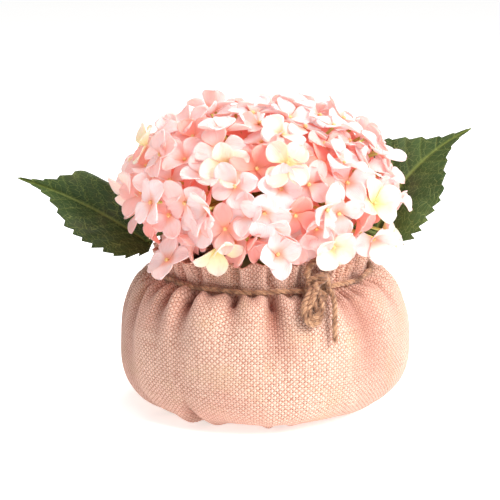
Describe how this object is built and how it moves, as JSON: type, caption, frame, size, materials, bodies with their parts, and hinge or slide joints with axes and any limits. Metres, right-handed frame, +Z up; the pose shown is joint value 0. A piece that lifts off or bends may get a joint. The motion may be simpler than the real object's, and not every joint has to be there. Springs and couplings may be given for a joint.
{
  "type": "hydrangea in a bag",
  "caption": "Pink silk hydrangea head with two serrated leaves on a stem, standing in a squat gathered burlap bag tied at the neck with jute twine",
  "frame": {"origin": "centre of the bag's flat underside", "axes": "+X to the right across the leaves, +Y to the back, +Z up; the front, with the knot in the twine, faces -Y"},
  "size_m": [0.2491, 0.1614, 0.1686],
  "materials": {
    "burlap": "coarse plain weave, matte",
    "filler_foam": "dry floral foam, matte",
    "stem_green": "moulded, slightly satin",
    "jute": "twisted hairy twine, matte",
    "leaf_cloth": "printed leaf cloth, low sheen",
    "petal_silk": "thin petal cloth, soft and matte"
  },
  "bodies": {
    "root": {"bag": "burlap", "filler": "filler_foam", "stem": "stem_green", "twine_tie": "jute", "twine_tail": "jute", "leaf_left": "leaf_cloth", "leaf_right": "leaf_cloth", "floret_1": "petal_silk", "floret_2": "petal_silk", "floret_3": "petal_silk", "floret_4": "petal_silk", "floret_5": "petal_silk", "floret_6": "petal_silk", "floret_7": "petal_silk", "floret_8": "petal_silk", "floret_9": "petal_silk", "floret_10": "petal_silk", "floret_11": "petal_silk", "floret_12": "petal_silk", "floret_13": "petal_silk", "floret_14": "petal_silk", "floret_15": "petal_silk", "floret_16": "petal_silk", "floret_17": "petal_silk", "floret_18": "petal_silk", "floret_19": "petal_silk", "floret_20": "petal_silk", "floret_21": "petal_silk", "floret_22": "petal_silk", "floret_23": "petal_silk", "floret_24": "petal_silk", "floret_25": "petal_silk", "floret_26": "petal_silk", "floret_27": "petal_silk", "floret_28": "petal_silk", "floret_29": "petal_silk", "floret_30": "petal_silk", "floret_31": "petal_silk", "floret_32": "petal_silk", "floret_33": "petal_silk", "floret_34": "petal_silk", "floret_35": "petal_silk", "floret_36": "petal_silk", "floret_37": "petal_silk", "floret_38": "petal_silk", "floret_39": "petal_silk", "floret_40": "petal_silk", "floret_41": "petal_silk", "floret_42": "petal_silk", "floret_43": "petal_silk", "floret_44": "petal_silk", "floret_45": "petal_silk", "floret_46": "petal_silk"}
  },
  "joints": []
}
